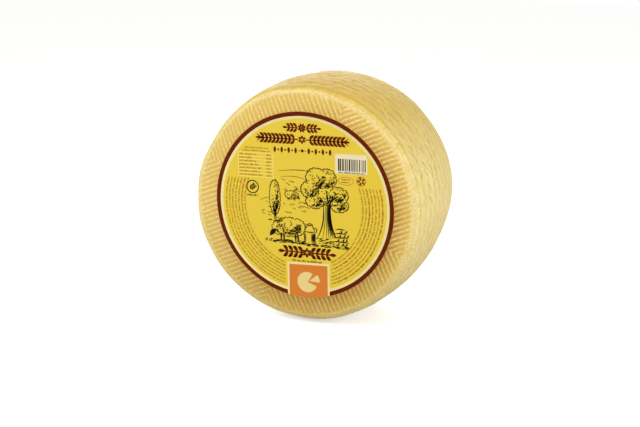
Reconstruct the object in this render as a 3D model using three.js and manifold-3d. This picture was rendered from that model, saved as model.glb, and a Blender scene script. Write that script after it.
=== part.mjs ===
// A whole wheel of pressed cheese, standing on its rim, with a round paper label on one face.
// Sizes are in millimetres. The wheel's axis runs along Y, the labelled face looks towards -Y and +Z is up.
// The origin is the middle of the small flat on the rim that the wheel rests on.

import * as THREE from "three";
import { mergeVertices } from "three/addons/utils/BufferGeometryUtils.js";
import Module from "manifold-3d";

// The wheel.
const BELLY_DIAMETER = 200; // across the middle of the bulging wall
const BULGE = 4.5; // how far the wall stands out between its two edges
const WHEEL_WIDTH = 100; // from face to face
const EDGE_RADIUS = 5; // rounding between a face and the wall
const SHOULDER_RADIUS = 100; // slow fall of the face from its flat middle towards the edge
const REST_WIDTH = 24; // flat on the rim, pressed by the wheel's own weight

// The label and the smooth seat that it lies in.
const RIB_BAND_WIDTH = 19; // bare face between the label and the line of the wall's edge
const LABEL_THICKNESS = 0.3;
const LABEL_CLEARANCE = 0.3; // behind the label and round it
const SEAT_MARGIN = 1.2; // flat face left round the seat before the shoulder starts

// How finely round shapes are cut into flat pieces.
const TURN_STEPS = 96;
const WALL_STEPS = 5;
const EDGE_STEPS = 4;
const SHOULDER_STEPS = 3;
const CUT_OVERRUN = 10; // how far a cutting tool reaches past what it cuts

// Sizes that follow from the ones above.
const bellyRadius = BELLY_DIAMETER / 2;
const halfWidth = WHEEL_WIDTH / 2;
const labelRadius = bellyRadius - BULGE - RIB_BAND_WIDTH;
const seatRadius = labelRadius + LABEL_CLEARANCE;
const seatDepth = LABEL_THICKNESS + LABEL_CLEARANCE;
const faceFlatRadius = seatRadius + SEAT_MARGIN;
const axisHeight = Math.sqrt(bellyRadius ** 2 - (REST_WIDTH / 2) ** 2);

const wasm = await Module();
wasm.setup();

const cheeseLook = new THREE.MeshStandardMaterial({ color: 0xe6cd80, roughness: 0.5, metalness: 0 });
const labelLook = new THREE.MeshStandardMaterial({ color: 0xe8ca4c, roughness: 0.4, metalness: 0 });

// Centre of a circle that touches two larger arcs from inside, on the side away from the axis.
function touchingCentre(arcA, arcB, radius) {
  const reachA = arcA.radius - radius;
  const reachB = arcB.radius - radius;
  const along = arcB.centre.clone().sub(arcA.centre);
  const apart = along.length();
  along.normalize();
  const across = new THREE.Vector2(along.y, -along.x);
  const step = (reachA ** 2 - reachB ** 2 + apart ** 2) / (2 * apart);
  const side = Math.sqrt(reachA ** 2 - step ** 2);
  if (across.x < 0) across.negate();
  return arcA.centre.clone().addScaledVector(along, step).addScaledVector(across, side);
}

// Points along an arc, from one angle to another, counted from the outward direction towards the face.
function arcPoints(centre, radius, from, to, steps) {
  return new THREE.ArcCurve(centre.x, centre.y, radius, from, to).getPoints(steps);
}

// Half of the wheel's outline, from the middle of the wall to the centre of a face.
// x is the distance from the axis and y the distance from the middle plane.
function halfOutline() {
  const wallRadius = (halfWidth ** 2 + BULGE ** 2) / (2 * BULGE);
  const wall = { centre: new THREE.Vector2(bellyRadius - wallRadius, 0), radius: wallRadius };
  const shoulder = {
    centre: new THREE.Vector2(faceFlatRadius, halfWidth - SHOULDER_RADIUS),
    radius: SHOULDER_RADIUS,
  };
  const edge = touchingCentre(wall, shoulder, EDGE_RADIUS);
  const wallEnd = edge.clone().sub(wall.centre).angle();
  const shoulderStart = edge.clone().sub(shoulder.centre).angle();
  return [
    ...arcPoints(wall.centre, wall.radius, 0, wallEnd, WALL_STEPS),
    ...arcPoints(edge, EDGE_RADIUS, wallEnd, shoulderStart, EDGE_STEPS).slice(1),
    ...arcPoints(shoulder.centre, shoulder.radius, shoulderStart, Math.PI / 2, SHOULDER_STEPS).slice(1),
    new THREE.Vector2(0, halfWidth),
  ];
}

// The same outline for both halves, from the labelled face to the other face.
function wheelOutline() {
  const towardsRear = halfOutline();
  const towardsLabel = towardsRear.slice(1).map((point) => new THREE.Vector2(point.x, -point.y));
  return [...towardsLabel.reverse(), ...towardsRear];
}

// A closed geometry as a solid that can be cut.
function solidFrom(geometry) {
  const bare = geometry.clone();
  bare.deleteAttribute("normal");
  bare.deleteAttribute("uv");
  const merged = mergeVertices(bare);
  return new wasm.Manifold(
    new wasm.Mesh({
      numProp: 3,
      vertProperties: merged.attributes.position.array,
      triVerts: new Uint32Array(merged.index.array),
    }),
  );
}

// A cut solid as a geometry again.
function geometryFrom(solid) {
  const mesh = solid.getMesh();
  const geometry = new THREE.BufferGeometry();
  geometry.setAttribute("position", new THREE.BufferAttribute(new Float32Array(mesh.vertProperties), 3));
  geometry.setIndex(new THREE.BufferAttribute(new Uint32Array(mesh.triVerts), 1));
  geometry.computeVertexNormals();
  return geometry;
}

// Everything below the surface that the wheel stands on.
function groundTool() {
  const side = BELLY_DIAMETER + 2 * CUT_OVERRUN;
  const tool = new THREE.BoxGeometry(side, WHEEL_WIDTH + 2 * CUT_OVERRUN, side);
  return solidFrom(tool.translate(0, 0, -side / 2));
}

// The round pocket that the label lies in, open towards the front.
function seatTool() {
  const height = seatDepth + CUT_OVERRUN;
  const tool = new THREE.CylinderGeometry(seatRadius, seatRadius, height, TURN_STEPS);
  return solidFrom(tool.translate(0, -halfWidth + seatDepth - height / 2, axisHeight));
}

// Paste and rind grew as one piece, so the wheel is one solid.
function cheese() {
  const turned = new THREE.LatheGeometry(wheelOutline(), TURN_STEPS);
  const body = solidFrom(turned.translate(0, 0, axisHeight));
  const standing = body.subtract(groundTool());
  const mesh = new THREE.Mesh(geometryFrom(standing.subtract(seatTool())), cheeseLook);
  mesh.name = "cheese";
  return mesh;
}

// A paper disc whose outer side is level with the tops of the ribs round it.
function label() {
  const disc = new THREE.CylinderGeometry(labelRadius, labelRadius, LABEL_THICKNESS, TURN_STEPS);
  const mesh = new THREE.Mesh(disc, labelLook);
  mesh.name = "label";
  mesh.position.set(0, -halfWidth + LABEL_THICKNESS / 2, axisHeight);
  return mesh;
}

const cheeseWheel = new THREE.Group();
cheeseWheel.add(cheese(), label());

export default cheeseWheel;
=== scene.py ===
# %% [markdown]
# # A wheel of pressed sheep's cheese with a round label
# The wheel stands on its rim, with its axis along Y and its labelled face towards -Y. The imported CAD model
# gives every overall size. This lesson adds what the smooth solid leaves out: the ribs that the mould's
# lids press into both faces, the plaited band pressed into the wall, the waxy rind, and the printed label.

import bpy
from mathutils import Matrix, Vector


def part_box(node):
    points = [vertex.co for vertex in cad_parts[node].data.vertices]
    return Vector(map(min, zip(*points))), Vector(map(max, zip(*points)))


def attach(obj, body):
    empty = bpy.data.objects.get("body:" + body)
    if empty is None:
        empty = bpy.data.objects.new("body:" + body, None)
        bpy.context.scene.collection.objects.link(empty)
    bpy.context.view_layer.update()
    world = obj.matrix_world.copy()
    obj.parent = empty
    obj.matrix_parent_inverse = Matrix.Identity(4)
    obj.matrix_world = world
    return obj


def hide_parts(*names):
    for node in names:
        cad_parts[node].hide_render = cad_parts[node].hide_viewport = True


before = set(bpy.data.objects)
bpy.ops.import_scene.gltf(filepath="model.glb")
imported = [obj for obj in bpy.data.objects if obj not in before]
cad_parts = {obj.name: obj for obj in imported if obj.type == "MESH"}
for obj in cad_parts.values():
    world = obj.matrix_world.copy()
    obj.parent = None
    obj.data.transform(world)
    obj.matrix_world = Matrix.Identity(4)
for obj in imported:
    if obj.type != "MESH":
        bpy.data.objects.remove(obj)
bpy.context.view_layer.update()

# %% Tools and units
import math

import bpy
import numpy as np
from mathutils import Vector

MM = 0.001
TURN = 2 * math.pi
print("lengths are in metres, a millimetre is", MM, "and a whole turn is", round(TURN, 4), "radians")

# %% [markdown]
# ## Sizes
# The belly, the width and the label come from the CAD boxes, so the looks follow the model if it changes.
# The roundings of the outline are the mould's own, and can't be read from a box, so they are named here.

# %% Sizes of the wheel and the label
wheel_low, wheel_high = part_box("cheese")
label_low, label_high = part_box("label")
BELLY_RADIUS = (wheel_high.x - wheel_low.x) / 2
HALF_WIDTH = (wheel_high.y - wheel_low.y) / 2
AXIS_HEIGHT = wheel_high.z - BELLY_RADIUS
LABEL_RADIUS = (label_high.x - label_low.x) / 2
LABEL_FRONT = label_low.y
LABEL_BACK = label_high.y
BULGE = 4.5 * MM
EDGE_RADIUS = 5 * MM
SHOULDER_RADIUS = 100 * MM
SEAT_CLEARANCE = 0.3 * MM
FLAT_RADIUS = LABEL_RADIUS + SEAT_CLEARANCE + 1.2 * MM
print("belly radius", BELLY_RADIUS, "half width", HALF_WIDTH, "label radius", LABEL_RADIUS)

# %% [markdown]
# ## Camera
# The camera stands a little above the wheel and to the right of its axis, a metre away, so that the label,
# the wall and the top are all seen. It is aimed slightly right of the label's centre, which leaves room for
# the wall.

# %% Camera
CAMERA_AZIMUTH = math.radians(22.1)
CAMERA_ELEVATION = math.radians(14.2)
CAMERA_DISTANCE = 1.0
SENSOR_WIDTH = 36
FOCAL_LENGTH = 70.25625
AIM_RIGHT = 13.5 * MM
AIM_DOWN = 6.0 * MM


def add_object(name, data):
    """A new object in the scene that shows the data."""
    made = bpy.data.objects.new(name, data)
    bpy.context.scene.collection.objects.link(made)
    return made


def make_camera():
    """A camera on the line from the label's centre given by an azimuth and an elevation."""
    back = Vector((
        math.sin(CAMERA_AZIMUTH) * math.cos(CAMERA_ELEVATION),
        -math.cos(CAMERA_AZIMUTH) * math.cos(CAMERA_ELEVATION),
        math.sin(CAMERA_ELEVATION),
    ))
    right = Vector((math.cos(CAMERA_AZIMUTH), math.sin(CAMERA_AZIMUTH), 0))
    up = back.cross(right)
    centre = Vector((0, LABEL_FRONT, AXIS_HEIGHT))
    data = bpy.data.cameras.new("studio_camera")
    data.sensor_width = SENSOR_WIDTH
    data.lens = FOCAL_LENGTH
    data.clip_start = 0.05
    camera = add_object("studio_camera", data)
    camera.location = centre + back * CAMERA_DISTANCE
    aim = centre + right * AIM_RIGHT - up * AIM_DOWN
    camera.rotation_euler = (aim - camera.location).to_track_quat("-Z", "Y").to_euler()
    bpy.context.scene.camera = camera
    return camera


camera = make_camera()
print("camera at", tuple(round(x, 3) for x in camera.location), "lens", round(camera.data.lens, 1))

# %% [markdown]
# ## Floor and light
# The wheel is shown the way food is sold: on a pale floor in a bright room of white cloth. A white world
# gives the soft fill, and large panels from the left, the right and behind give the rind and the foil their
# shine. Colours are kept as they are mixed, so the view transform is the plain one. Every look is a tree of
# nodes, so first comes a small class that keeps the trees short to write.

# %% Node helpers
def colour(red, green, blue):
    """Linear colour from the usual 0-255 screen values."""
    screen = np.array([red, green, blue]) / 255
    linear = np.where(screen <= 0.04045, screen / 12.92, ((screen + 0.055) / 1.055) ** 2.4)
    return (*linear.tolist(), 1.0)


class Board:
    """A node tree with short ways to add nodes. A value is a socket or a number."""

    def __init__(self, tree):
        """Keeps the tree."""
        self.tree = tree

    def put(self, socket, value):
        """Links a socket to another one, or sets its number."""
        if isinstance(value, bpy.types.NodeSocket):
            self.tree.links.new(value, socket)
        else:
            socket.default_value = value

    def node(self, kind, inputs=(), **settings):
        """Any node, with its settings and inputs."""
        made = self.tree.nodes.new(kind)
        for key, value in settings.items():
            setattr(made, key, value)
        for key, value in dict(inputs).items():
            self.put(made.inputs[key], value)
        return made

    def math(self, operation, a, b=0.0, c=0.0):
        """One operation on up to three numbers, such as a + b or a * b + c."""
        return self.node("ShaderNodeMath", {0: a, 1: b, 2: c}, operation=operation).outputs[0]

    def times(self, a, b):
        """a times b."""
        return self.math("MULTIPLY", a, b)

    def minus(self, a, b):
        """a less b."""
        return self.math("SUBTRACT", a, b)

    def vector(self, operation, a, b=(0, 0, 0)):
        """One operation on vectors, such as their product or the length of one."""
        made = self.node("ShaderNodeVectorMath", {0: a, 1: b}, operation=operation)
        return made.outputs["Value" if operation == "LENGTH" else "Vector"]

    def step(self, value, low, high, to_low=0.0, to_high=1.0):
        """Smooth change from to_low to to_high while the value goes from low to high."""
        inputs = {"Value": value, 1: low, 2: high, 3: to_low, 4: to_high}
        return self.node("ShaderNodeMapRange", inputs, interpolation_type="SMOOTHSTEP").outputs["Result"]

    def mix(self, share, a, b):
        """Colour a at share 0, colour b at share 1."""
        return self.node("ShaderNodeMix", {0: share, 6: a, 7: b}, data_type="RGBA").outputs[2]

    def noise(self, place, per_metre, detail):
        """Noise from 0 to 1 with about so many lumps in a metre."""
        inputs = {"Vector": place, "Scale": per_metre, "Detail": detail}
        return self.node("ShaderNodeTexNoise", inputs).outputs[0]

    def bump(self, height, distance, strength):
        """The normal of a surface raised by the height times the distance."""
        inputs = {"Height": height, "Distance": distance, "Strength": strength}
        return self.node("ShaderNodeBump", inputs).outputs[0]

    def attribute(self, name):
        """A pattern that the mesh carries in its points."""
        return self.node("ShaderNodeAttribute", attribute_name=name).outputs["Vector"]

    def camera_ray(self):
        """1 for what the camera sees directly, 0 for the light on everything else."""
        return self.node("ShaderNodeLightPath").outputs["Is Camera Ray"]

    def place(self):
        """Where a point is on the object, in metres."""
        return self.node("ShaderNodeTexCoord").outputs["Object"]

    def split(self, value):
        """The three numbers of a vector."""
        return self.node("ShaderNodeSeparateXYZ", {0: value}).outputs

    def join(self, x, y, z):
        """A vector of three numbers."""
        return self.node("ShaderNodeCombineXYZ", {0: x, 1: y, 2: z}).outputs[0]


def new_material(name, **sockets):
    """A Principled material with values for its sockets. Returns it, its board and its shader's inputs."""
    material = bpy.data.materials.new(name)
    material.use_nodes = True
    inputs = material.node_tree.nodes["Principled BSDF"].inputs
    for label, value in sockets.items():
        inputs[label.replace("_", " ")].default_value = value
    return material, Board(material.node_tree), inputs


print("white on the screen is", colour(255, 255, 255), "to the renderer")

# %% World
FILL_LIGHT = 0.5
FILL_COLOUR = (1, 0.99, 0.97, 1)
BACKDROP_LIGHT = 1.0
WHITE = (1, 1, 1, 1)


def make_world():
    """A white world that is brighter to the camera than it is to the wheel."""
    world = bpy.data.worlds.new("white_room")
    bpy.context.scene.world = world
    world.use_nodes = True
    world.node_tree.nodes.clear()
    board = Board(world.node_tree)
    fill = board.node("ShaderNodeBackground", {"Color": FILL_COLOUR, "Strength": FILL_LIGHT}).outputs[0]
    seen = board.node("ShaderNodeBackground", {"Color": WHITE, "Strength": BACKDROP_LIGHT}).outputs[0]
    mixed = board.node("ShaderNodeMixShader", {0: board.camera_ray(), 1: fill, 2: seen}).outputs[0]
    board.node("ShaderNodeOutputWorld", {"Surface": mixed})
    return world


world = make_world()
bpy.context.scene.view_settings.view_transform = "Standard"
print(world.name, "gives", FILL_LIGHT, "to the wheel and", BACKDROP_LIGHT, "to the camera")

# %% Light panels
def light_panel(name, place, aim, size, power):
    """A square area light of the given side and power that faces a point."""
    data = bpy.data.lights.new(name, "AREA")
    data.shape = "SQUARE"
    data.size = size
    data.energy = power
    lamp = add_object(name, data)
    lamp.location = place
    lamp.rotation_euler = (Vector(aim) - Vector(place)).to_track_quat("-Z", "Y").to_euler()


for name, place, size, power in (
    ("left_panel", (-0.7, -0.85, 0.85), 0.7, 9),
    ("right_panel", (1.1, -0.3, 0.55), 0.45, 6.5),
    ("rear_panel", (-0.5, 1.3, 0.25), 0.9, 5),
):
    light_panel(name, place, (0, 0, AXIS_HEIGHT), size, power)
    print(name, "at", place, "is", size, "m wide and gives", power, "W")

# %% Floor
FLOOR_SIDE = 6.0
FLOOR_GLOW = 0.55
PALE_GREY = (0.8, 0.8, 0.8, 1)


def make_floor():
    """A wide pale sheet under the wheel. It glows for the camera only, so it looks as white as the room."""
    half = FLOOR_SIDE / 2
    corners = [(-half, -half, 0), (half, -half, 0), (half, half, 0), (-half, half, 0)]
    data = bpy.data.meshes.new("floor")
    data.from_pydata(corners, [], [(0, 1, 2, 3)])
    floor = add_object("floor", data)
    looks = {"Base_Color": PALE_GREY, "Emission_Color": WHITE, "Roughness": 0.35}
    paint, board, inputs = new_material("floor_paint", **looks)
    board.put(inputs["Emission Strength"], board.times(board.camera_ray(), FLOOR_GLOW))
    data.materials.append(paint)


make_floor()
print("floor", FLOOR_SIDE, "m wide, with a glow of", FLOOR_GLOW)

# %% [markdown]
# ## The outline of the wheel
# Half of the outline is four simple curves that meet without a kink: the slow arc of the wall, the tight
# rounding of the edge, the shoulder where the face starts to fall, and the flat middle of the face. The
# centre of the rounding is where two circles cross, because it lies one rounding radius inside both the
# wall's arc and the shoulder's.

# %% Arcs of the outline
def touching_centre(centre_a, reach_a, centre_b, reach_b):
    """The outer crossing of two circles, given their centres and radii."""
    along = np.subtract(centre_b, centre_a)
    apart = np.hypot(*along)
    along = along / apart
    across = np.array([along[1], -along[0]])
    across = across * np.sign(across[0])
    step = (reach_a**2 - reach_b**2 + apart**2) / (2 * apart)
    return centre_a + along * step + across * math.sqrt(reach_a**2 - step**2)


WALL_RADIUS = (HALF_WIDTH**2 + BULGE**2) / (2 * BULGE)
wall_centre = np.array([BELLY_RADIUS - WALL_RADIUS, 0.0])
shoulder_centre = np.array([FLAT_RADIUS, HALF_WIDTH - SHOULDER_RADIUS])
edge_centre = touching_centre(
    wall_centre, WALL_RADIUS - EDGE_RADIUS, shoulder_centre, SHOULDER_RADIUS - EDGE_RADIUS
)
wall_turn = math.atan2(*(edge_centre - wall_centre)[::-1])
edge_turn = math.atan2(*(edge_centre - shoulder_centre)[::-1])
WALL_HALF = WALL_RADIUS * wall_turn
EDGE_END = WALL_HALF + EDGE_RADIUS * (edge_turn - wall_turn)
RIB_END_RADIUS = shoulder_centre[0] + SHOULDER_RADIUS * math.cos(edge_turn)
print("half the wall is", round(WALL_HALF / MM, 1), "mm, ribs end at radius", round(RIB_END_RADIUS / MM, 1))


def rim_outline(s):
    """Radius, depth and outward direction at signed length s from the middle of the wall, as far as the ribs.
    On the wall the direction turns by s over the wall's radius, and past it by the rest over the edge's."""
    reach = np.abs(s)
    on_wall = reach <= WALL_HALF
    turn = np.where(on_wall, reach / WALL_RADIUS, wall_turn + (reach - WALL_HALF) / EDGE_RADIUS)
    arc = np.where(on_wall, WALL_RADIUS, EDGE_RADIUS)
    radius = np.where(on_wall, wall_centre[0], edge_centre[0]) + arc * np.cos(turn)
    depth = np.where(on_wall, wall_centre[1], edge_centre[1]) + arc * np.sin(turn)
    return radius, depth * np.sign(s), np.cos(turn), np.sin(turn) * np.sign(s)


def face_depth(radius):
    """Depth of the face at a distance from the axis: flat, then the shoulder's arc."""
    out = np.maximum(radius - FLAT_RADIUS, 0)
    return shoulder_centre[1] + np.sqrt(SHOULDER_RADIUS**2 - out**2)


# %% [markdown]
# ## Unevenness
# Nothing pressed in a cloth is quite regular. A sum of waves with whole numbers of turns round the wheel
# gives soft lumps that close on themselves, and the seed keeps them the same on every run.

# %% Soft noise round the wheel
chance = np.random.default_rng


def lumps(angle, across, turns, scale, seed, waves=14):
    """Sum of sine waves in angle and across, at most `turns` times round the wheel and about `scale` metres
    long the other way, from about -1 to 1."""
    draw = chance(seed)
    total = np.zeros(np.broadcast(angle, across).shape)
    for _ in range(waves):
        round_waves = draw.integers(-turns, turns + 1)
        long_waves = draw.uniform(-1, 1) / scale
        total = total + np.sin(round_waves * angle + TURN * long_waves * across + draw.uniform(0, TURN))
    return total / math.sqrt(waves)


def smooth_step(low, high, x):
    """0 below low, 1 above high, and a smooth cubic between."""
    t = np.clip((x - low) / (high - low), 0, 1)
    return t * t * (3 - 2 * t)


# %% [markdown]
# ## Ribs on the faces
# The lids of the mould are carved with straight grooves in four quarters, and the grooves of each quarter
# run along its middle line. On the cheese they leave narrow raised ribs that meet in a V where two quarters
# meet. Columns of points run along each rib and crowd at its crest, so few points give a crisp rib, and
# rows are circles, so the pattern meets the label and the edge cleanly.

# %% Rib pattern
QUARTERS = 4
QUARTER_TURN = math.radians(23)
RIBS_PER_HALF = 17.5
POINTS_PER_RIB = 7
CREST_CROWDING = 0.5
RIB_HEIGHT = 0.42 * MM
RIB_SHARE = 0.2
RIB_WANDER = 0.05
RIB_BEADING = 0.28
RIB_FADE = 3.6 * MM
RIB_RAGGED = 1.3 * MM
GROOVE_LUMPS = 0.09 * MM
MARGIN_DEPTH = 0.15 * MM

half_fan = RIB_END_RADIUS / math.sqrt(2)
RIB_PITCH = half_fan / RIBS_PER_HALF
COLUMNS = int(2 * RIBS_PER_HALF * POINTS_PER_RIB)
ribs_across = np.linspace(-RIBS_PER_HALF, RIBS_PER_HALF, COLUMNS + 1)
ribs_across = ribs_across - CREST_CROWDING * np.sin(TURN * ribs_across) / TURN
column_offset = ribs_across * RIB_PITCH
print("rib pitch", round(RIB_PITCH / MM, 2), "mm,", QUARTERS * COLUMNS, "columns round the face")


def face_relief(across, radius, angle, side):
    """Depth below the face of each point, and how pale it is. A rib is a bell curve of the offset across the
    ribs, made uneven along its length. It fades out before the rounded edge, which is as pale as a rib, and
    sooner on the side where the cosine of the angle is negative."""
    phase = across / RIB_PITCH + RIB_WANDER * lumps(angle, radius, 60, 9 * MM, 11 + side)
    crest = np.exp(-(((phase - np.round(phase)) / RIB_SHARE) ** 2))
    beads = 1 + RIB_BEADING * lumps(angle, radius, 190, 2.2 * MM, 21 + side, 24)
    rib_end = RIB_END_RADIUS - RIB_RAGGED * np.abs(lumps(angle, radius, 130, 8 * MM, 81 + side, 20))
    fade_length = RIB_FADE * (0.4 + 0.6 * smooth_step(-0.6, 0.6, np.cos(angle)))
    fade = smooth_step(0, fade_length, rib_end - radius)
    rib = crest * np.clip(beads, 0.35, 1.25)
    groove = RIB_HEIGHT * (1 - rib) + GROOVE_LUMPS * lumps(angle, radius, 120, 3 * MM, 31 + side, 20)
    return -groove * fade - MARGIN_DEPTH * (1 - fade), 1 - fade * (1 - rib)


# %% [markdown]
# ## The plait on the wall
# The wall was wrapped in a band woven from bundles of stems, nine plaits wide. In each plait the bundles
# lean the other way from its neighbours, so the bundles run in zigzags across the wall. Between the plaits
# the band pressed a wavy valley round the wheel, and the rind that gave way to it stands up beside the
# valley as a low crest. A triangle wave across the wall carries the bundles' lean.

# %% Plait pattern
PLAITS = 9
PLAIT_WIDTH = 9.8 * MM
BUNDLES_ROUND = 64
BUNDLE_LEAN = 1.5
BUNDLE_DEPTH = 0.3 * MM
VALLEY_DEPTH = 0.55 * MM
VALLEY_WIDTH = 1.5 * MM
CREST_AWAY = 3.0 * MM
CREST_WIDTH = 1.9 * MM
VALLEY_WAVE = 1.1 * MM
VALLEY_WANDER = 0.5 * MM
END_WAVE = 0.15
LUMP_DEPTH = 0.5 * MM
PORE_DEPTH = 0.05 * MM


def zigzag(s):
    """Triangle wave from -1 to 1 across the wall, one plait up and the next one down, level past the ends."""
    plait = np.clip(s / PLAIT_WIDTH + PLAITS / 2, 0, PLAITS)
    return 1 - 4 * np.abs(plait / 2 - np.floor(plait / 2) - 0.5)


def fibre_place(s, angle):
    """A point's place with the lean of the bundles taken out, so that fibres follow them: the wheel's circle,
    turned by the zigzag, and the length across the wall."""
    turned = angle + BUNDLE_LEAN / 2 * zigzag(s) * TURN / BUNDLES_ROUND
    return np.stack(np.broadcast_arrays(BELLY_RADIUS * np.cos(turned), BELLY_RADIUS * np.sin(turned), s), -1)


def wall_relief(s, angle):
    """Depth below the smooth wall, and how hollow and how high each point is. Bundles are rounded, a wavy
    valley lies along each edge of a plait, and a crest runs beside each valley. The waves are cosines of the
    bundles' phase, and a valley and a crest are bell curves of the distance from the wave."""
    plait = s / PLAIT_WIDTH + PLAITS / 2
    wobble = 0.12 * lumps(angle, s, 90, 12 * MM, 45)
    bundle = BUNDLES_ROUND * angle / TURN + BUNDLE_LEAN / 2 * zigzag(s) + wobble
    inside = smooth_step(-0.1, 0.25, plait) * smooth_step(-0.1, 0.25, PLAITS - plait)
    strength = np.clip(0.7 + 0.5 * lumps(angle, s, 40, 25 * MM, 41), 0.1, 1.4)
    crease = 0.5 - 0.5 * np.cos(TURN * bundle)
    edge = np.clip(np.round(plait), 0, PLAITS)
    lean = np.where(edge % 2 == 0, -1, 1) * BUNDLE_LEAN / 2
    wave = VALLEY_WAVE * np.cos(TURN * (BUNDLES_ROUND * angle / TURN + lean + wobble))
    wave = wave + VALLEY_WANDER * lumps(angle, s, 90, 30 * MM, 51)
    between_plaits = (edge > 0) & (edge < PLAITS)
    wave = np.where(between_plaits, wave, END_WAVE * wave)
    from_valley = (plait - edge) * PLAIT_WIDTH - wave
    valley = np.exp(-((from_valley / VALLEY_WIDTH) ** 2)) * np.clip(strength, 0.7, 1)
    crest = np.exp(-(((from_valley + CREST_AWAY) / CREST_WIDTH) ** 2)) * np.clip(strength, 0.5, 1)
    hollow = np.clip(inside * 0.15 * crease * strength + 0.9 * valley, 0, 1)
    depth = inside * BUNDLE_DEPTH * crease * strength + VALLEY_DEPTH * valley
    uneven = LUMP_DEPTH * (1 + lumps(angle, s, 14, 40 * MM, 61)) / 2
    uneven = uneven + PORE_DEPTH * lumps(angle, s, 200, 3 * MM, 71, 20)
    return -depth - np.clip(uneven, 0, None), hollow, crest * inside


# %% [markdown]
# ## One closed skin
# Three grids make the skin: the front ribs, the back ribs, and the rim with the wall. A fan of triangles
# closes the middle of each face. Two quarters of ribs share their border points, so they are joined by
# welding points that lie at the same place, and a quad that has lost a side in the weld becomes a triangle.

# %% Grids and welding
def pairs(*values):
    """Broadcasts numbers or arrays together and stacks them along a last axis, as points."""
    return np.stack(np.broadcast_arrays(*[np.asarray(v, dtype=float) for v in values]), -1)


def round_axis(radius, angle, y):
    """Points at a distance from the wheel's axis, an angle round it and a depth along it."""
    return pairs(radius * np.cos(angle), y, radius * np.sin(angle)).reshape(-1, 3)


def grid_quads(rows, columns, start, closed=False):
    """Corner numbers of the quads between neighbouring points of a grid whose rows follow each other."""
    here = np.arange(columns if closed else columns - 1)
    beside = (here + 1) % columns
    row = start + columns * np.arange(rows - 1)[:, None]
    corners = [row + here, row + beside, row + columns + beside, row + columns + here]
    return np.stack([c.ravel() for c in corners], -1)


def weld(points):
    """Joins points that lie in the same tenth of a micron. Returns which are kept, and what each became."""
    places = np.round(points / (1e-4 * MM))
    _, kept, became = np.unique(places, axis=0, return_index=True, return_inverse=True)
    return kept, became.ravel()


def without_lost_sides(quads):
    """Splits quads into the whole ones and the triangles left where a quad has lost one side."""
    same = quads == np.roll(quads, -1, axis=1)
    lost = same.sum(1)
    corners = np.sort(np.argsort(same[lost == 1], axis=1, kind="stable")[:, :3], axis=1)
    return quads[lost == 0], np.take_along_axis(quads[lost == 1], corners, 1)


GAP_BEHIND_LABEL = 0.1 * MM


def fan_of_ribs(radii, side):
    """One face of four quarters: points, paleness and fibres, in grids of rows of equal radius. A point lies
    at its column's offset across the ribs, or on the quarter's border where its row is too short for that."""
    across = np.broadcast_to(column_offset, (len(radii), COLUMNS + 1))
    along = np.maximum(np.sqrt(np.maximum(radii[:, None] ** 2 - across**2, 0)), np.abs(across))
    on_border = along[0] == np.abs(across[0])
    radius = np.hypot(across, along)
    points, pale, fibres = [], [], []
    for quarter in range(QUARTERS):
        angle = np.arctan2(across, along) + QUARTER_TURN + quarter * TURN / QUARTERS
        depth, paleness = face_relief(np.abs(across), radius, angle, side)
        if side < 0:
            outside_seat = smooth_step(-0.1 * MM, 0.2 * MM, radius - LABEL_RADIUS - SEAT_CLEARANCE / 2)
            seat_depth = LABEL_BACK - LABEL_FRONT + GAP_BEHIND_LABEL
            depth = depth * outside_seat - seat_depth * (1 - outside_seat)
        y = side * (face_depth(radius) + depth)
        points.append(round_axis(radius, angle, y))
        pale.append(paleness.ravel())
        fibres.append(fibre_place(side * EDGE_END, angle).reshape(-1, 3))
    return np.concatenate(points), np.concatenate(pale), np.concatenate(fibres), on_border


# %% The skin of the wheel
FRONT_ROWS = 18
BACK_ROWS = 36
RIM_ROWS = 111
EVEN_SHARE = 0.7
CAP_RADIUS = 1.5 * MM
FRONT_START_RADIUS = LABEL_RADIUS - 1.5 * MM


def add_face(skin, radii, side):
    """Adds one face's points and polygons to the skin and returns the numbers of its outermost ring."""
    points, pale, fibres, on_border = fan_of_ribs(radii, side)
    start = sum(len(p) for p in skin["points"])
    columns = COLUMNS + 1
    block = len(radii) * columns
    centre = start + len(points)
    rings = []
    here = np.arange(COLUMNS)
    inner = here[~(on_border[:-1] & on_border[1:])]
    for quarter in range(QUARTERS):
        first = start + quarter * block
        quads = grid_quads(len(radii), columns, first)
        cap = np.stack([np.full(len(inner), centre), first + inner + 1, first + inner], -1)
        rings.append(first + block - columns + here)
        skin["quads"].append(quads if side > 0 else quads[:, ::-1])
        skin["triangles"].append(cap if side > 0 else cap[:, ::-1])
    middle = points[np.arange(QUARTERS) * block].mean(0) * (0, 1, 0)
    skin["points"].append(np.vstack([points, middle]))
    skin["marks"].append(np.vstack([pairs(pale, 0.0, 0.0), np.zeros(3)]))
    skin["fibres"].append(np.vstack([fibres, fibres[:1]]))
    return np.concatenate(rings)


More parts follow.
